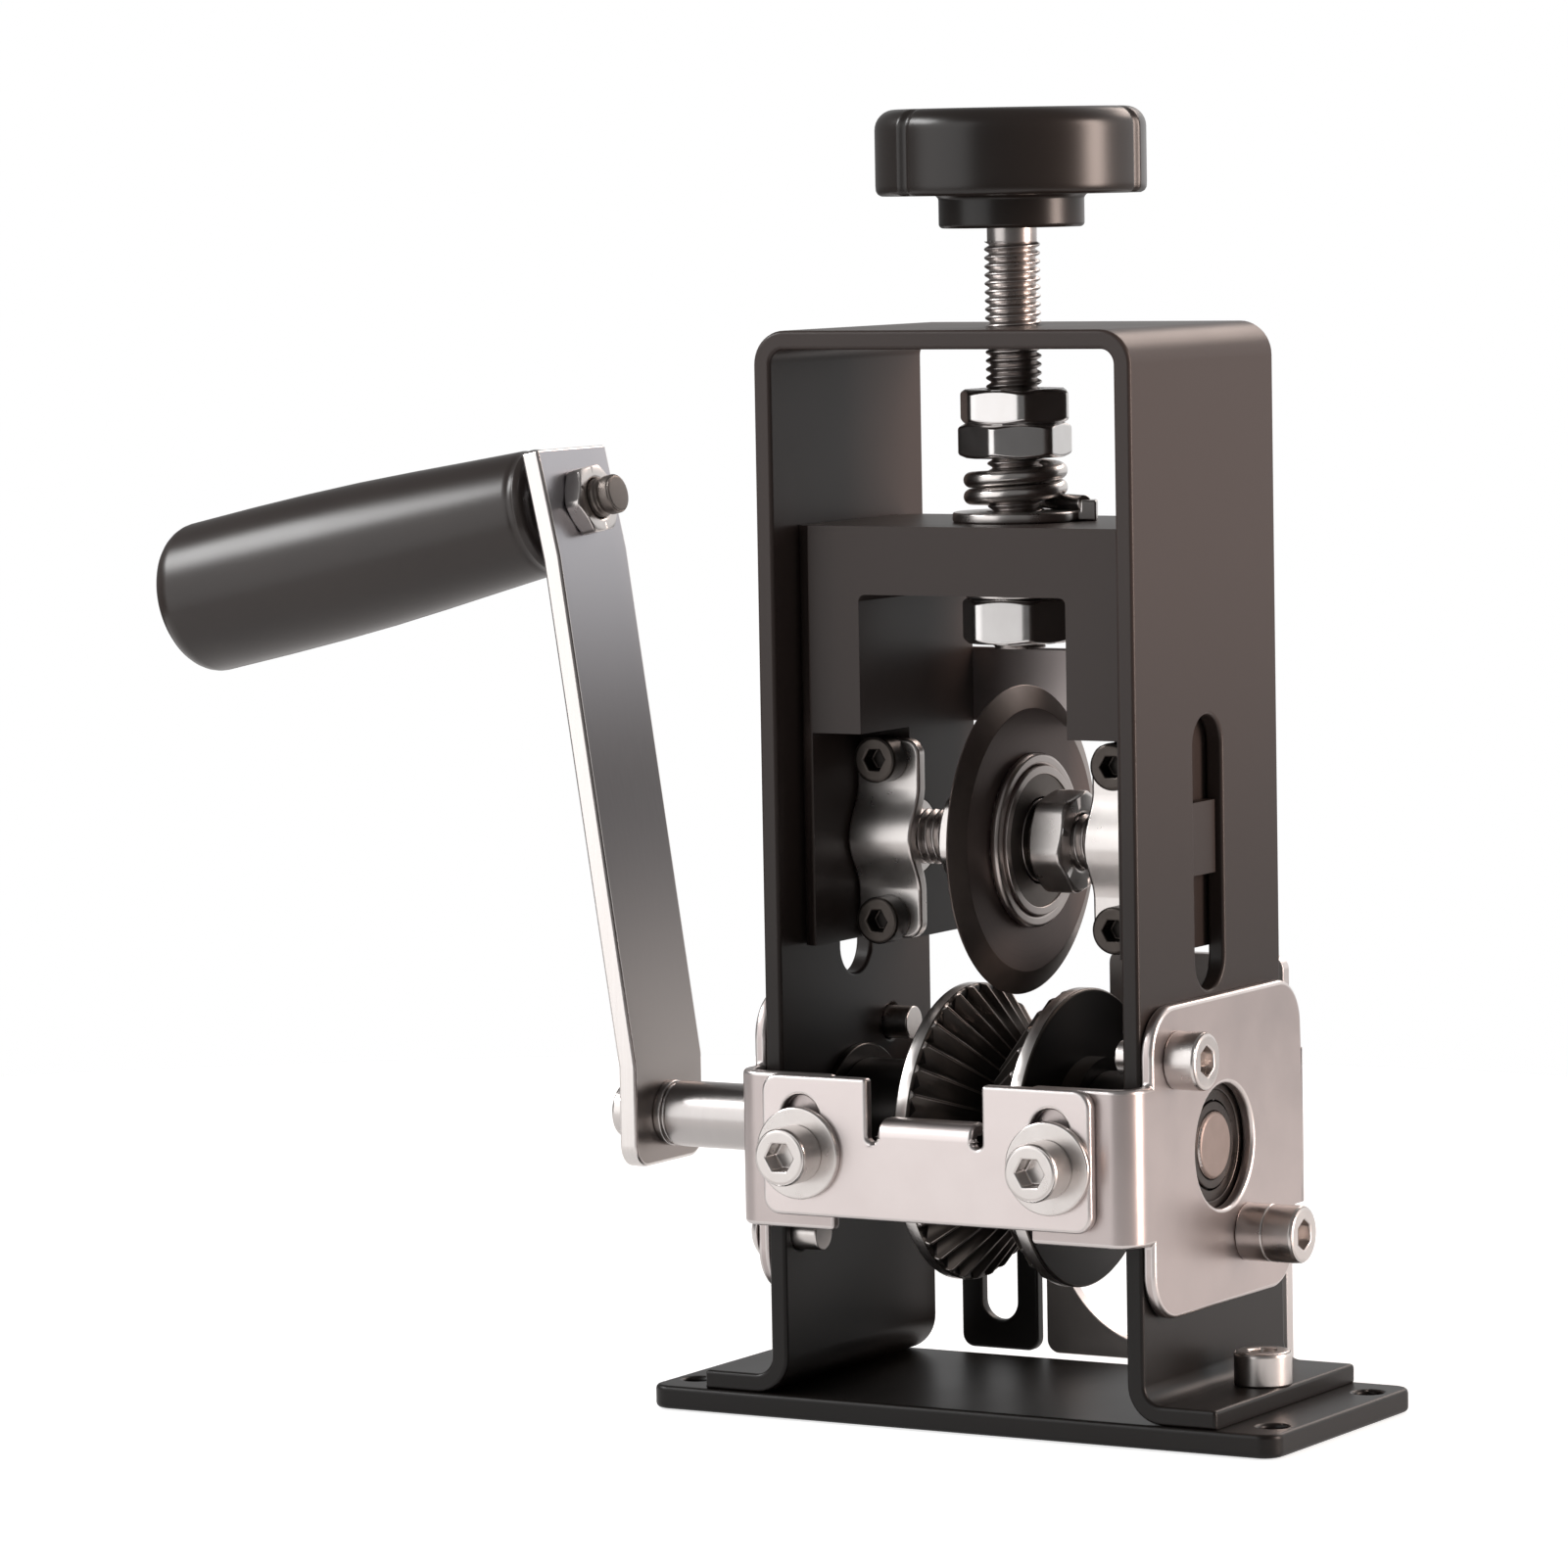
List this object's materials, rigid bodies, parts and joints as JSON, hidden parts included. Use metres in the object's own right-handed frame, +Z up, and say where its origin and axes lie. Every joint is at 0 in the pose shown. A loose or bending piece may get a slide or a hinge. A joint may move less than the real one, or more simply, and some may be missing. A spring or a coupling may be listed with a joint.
{
  "type": "manual wire stripping machine",
  "caption": "Hand-cranked bench wire stripper: a round blade in a screw-adjusted carrier over a pair of toothed feed discs, in a bent steel frame on a base plate.",
  "frame": {"origin": "centre of the base plate's underside", "axes": "+X along the drive shaft away from the crank handle, +Y from the wire guide to the outlet plate, +Z up along the adjusting screw"},
  "size_m": [0.2014, 0.0734, 0.1917],
  "materials": {
    "black_coat": "satin black powder coat",
    "satin_sheet": "satin nickel plated sheet",
    "bright_zinc": "bright zinc plated steel",
    "dark_steel": "dark hardened and ground steel",
    "black_oxide": "black oxide steel",
    "black_plastic": "moulded black plastic",
    "bearing_steel": "ground bearing steel"
  },
  "bodies": {
    "stand": {"base_plate": "black_coat", "frame": "black_coat", "foot_screws": "bright_zinc", "left_bracket": "satin_sheet", "right_bracket": "satin_sheet", "right_bracket_screws": "bright_zinc", "left_bracket_screws": "bright_zinc", "spacer_collar": "bright_zinc", "guide_screws": "bright_zinc", "guide_washers": "bright_zinc", "guide_nuts": "bright_zinc", "outlet_plate": "satin_sheet", "rear_stay": "black_coat", "rear_screws": "bright_zinc", "rear_washers": "bright_zinc", "rear_nuts": "bright_zinc", "shaft_bearing_outer": "dark_steel", "shaft_bearing_balls": "bearing_steel", "shaft_bearing_shields": "dark_steel"},
    "wire_guide": {"guide_plate": "satin_sheet"},
    "crank": {"drive_shaft": "bright_zinc", "left_feed_disc": "dark_steel", "right_feed_disc": "dark_steel", "shaft_spacers": "bright_zinc", "shaft_bearing_inner": "dark_steel", "crank_arm": "satin_sheet", "crank_screw": "bright_zinc", "handle_stud": "dark_steel", "handle_washer": "bright_zinc", "handle_nut": "bright_zinc"},
    "grip": {"handle_grip": "black_plastic"},
    "slider": {"carrier": "black_coat", "carrier_stay": "satin_sheet", "stay_screws": "bright_zinc", "left_axle_cap": "bright_zinc", "right_axle_cap": "bright_zinc", "cap_screws": "black_oxide", "blade_axle": "dark_steel", "axle_collars": "bright_zinc", "axle_nuts": "bright_zinc", "axle_spacers": "bright_zinc", "blade_bearing_inner": "bearing_steel", "blade_bearing_balls": "bearing_steel", "spring": "bright_zinc", "spring_seat": "bright_zinc", "thrust_washer": "bright_zinc"},
    "cutter": {"blade": "dark_steel", "blade_hub": "bright_zinc", "blade_retainer": "bright_zinc", "blade_bearing_outer": "bearing_steel", "blade_bearing_shields": "bearing_steel"},
    "adjuster": {"adjusting_screw": "bright_zinc", "knob": "black_plastic", "jam_nuts": "bright_zinc", "retaining_nut": "bright_zinc"}
  },
  "joints": [
    {"name": "carrier_slide", "type": "slide", "parent": "stand", "child": "slider", "axis": [0, 0, 1], "range_m": [-0.0045, 0.006]},
    {"name": "screw_turn", "type": "hinge", "parent": "slider", "child": "adjuster", "pos_m": [0, 0, 0.14], "axis": [0, 0, 1], "range_deg": [-1296.5, 1728.5]},
    {"name": "blade_spin", "type": "hinge", "parent": "slider", "child": "cutter", "pos_m": [0.0002, 0, 0.0846], "axis": [1, 0, 0], "continuous": true},
    {"name": "crank_turn", "type": "hinge", "parent": "stand", "child": "crank", "pos_m": [0, 0, 0.041], "axis": [1, 0, 0], "continuous": true},
    {"name": "handle_spin", "type": "hinge", "parent": "crank", "child": "grip", "pos_m": [-0.07484, 0, 0.1336], "axis": [-0.9759, 0, -0.2181], "continuous": true},
    {"name": "guide_slide", "type": "slide", "parent": "stand", "child": "wire_guide", "axis": [0, 0, 1], "range_m": [-0.005, 0.002]}
  ],
  "couplings": [
    {"joint": "screw_turn", "follows": "carrier_slide", "rad_per_m": 5026.5}
  ]
}
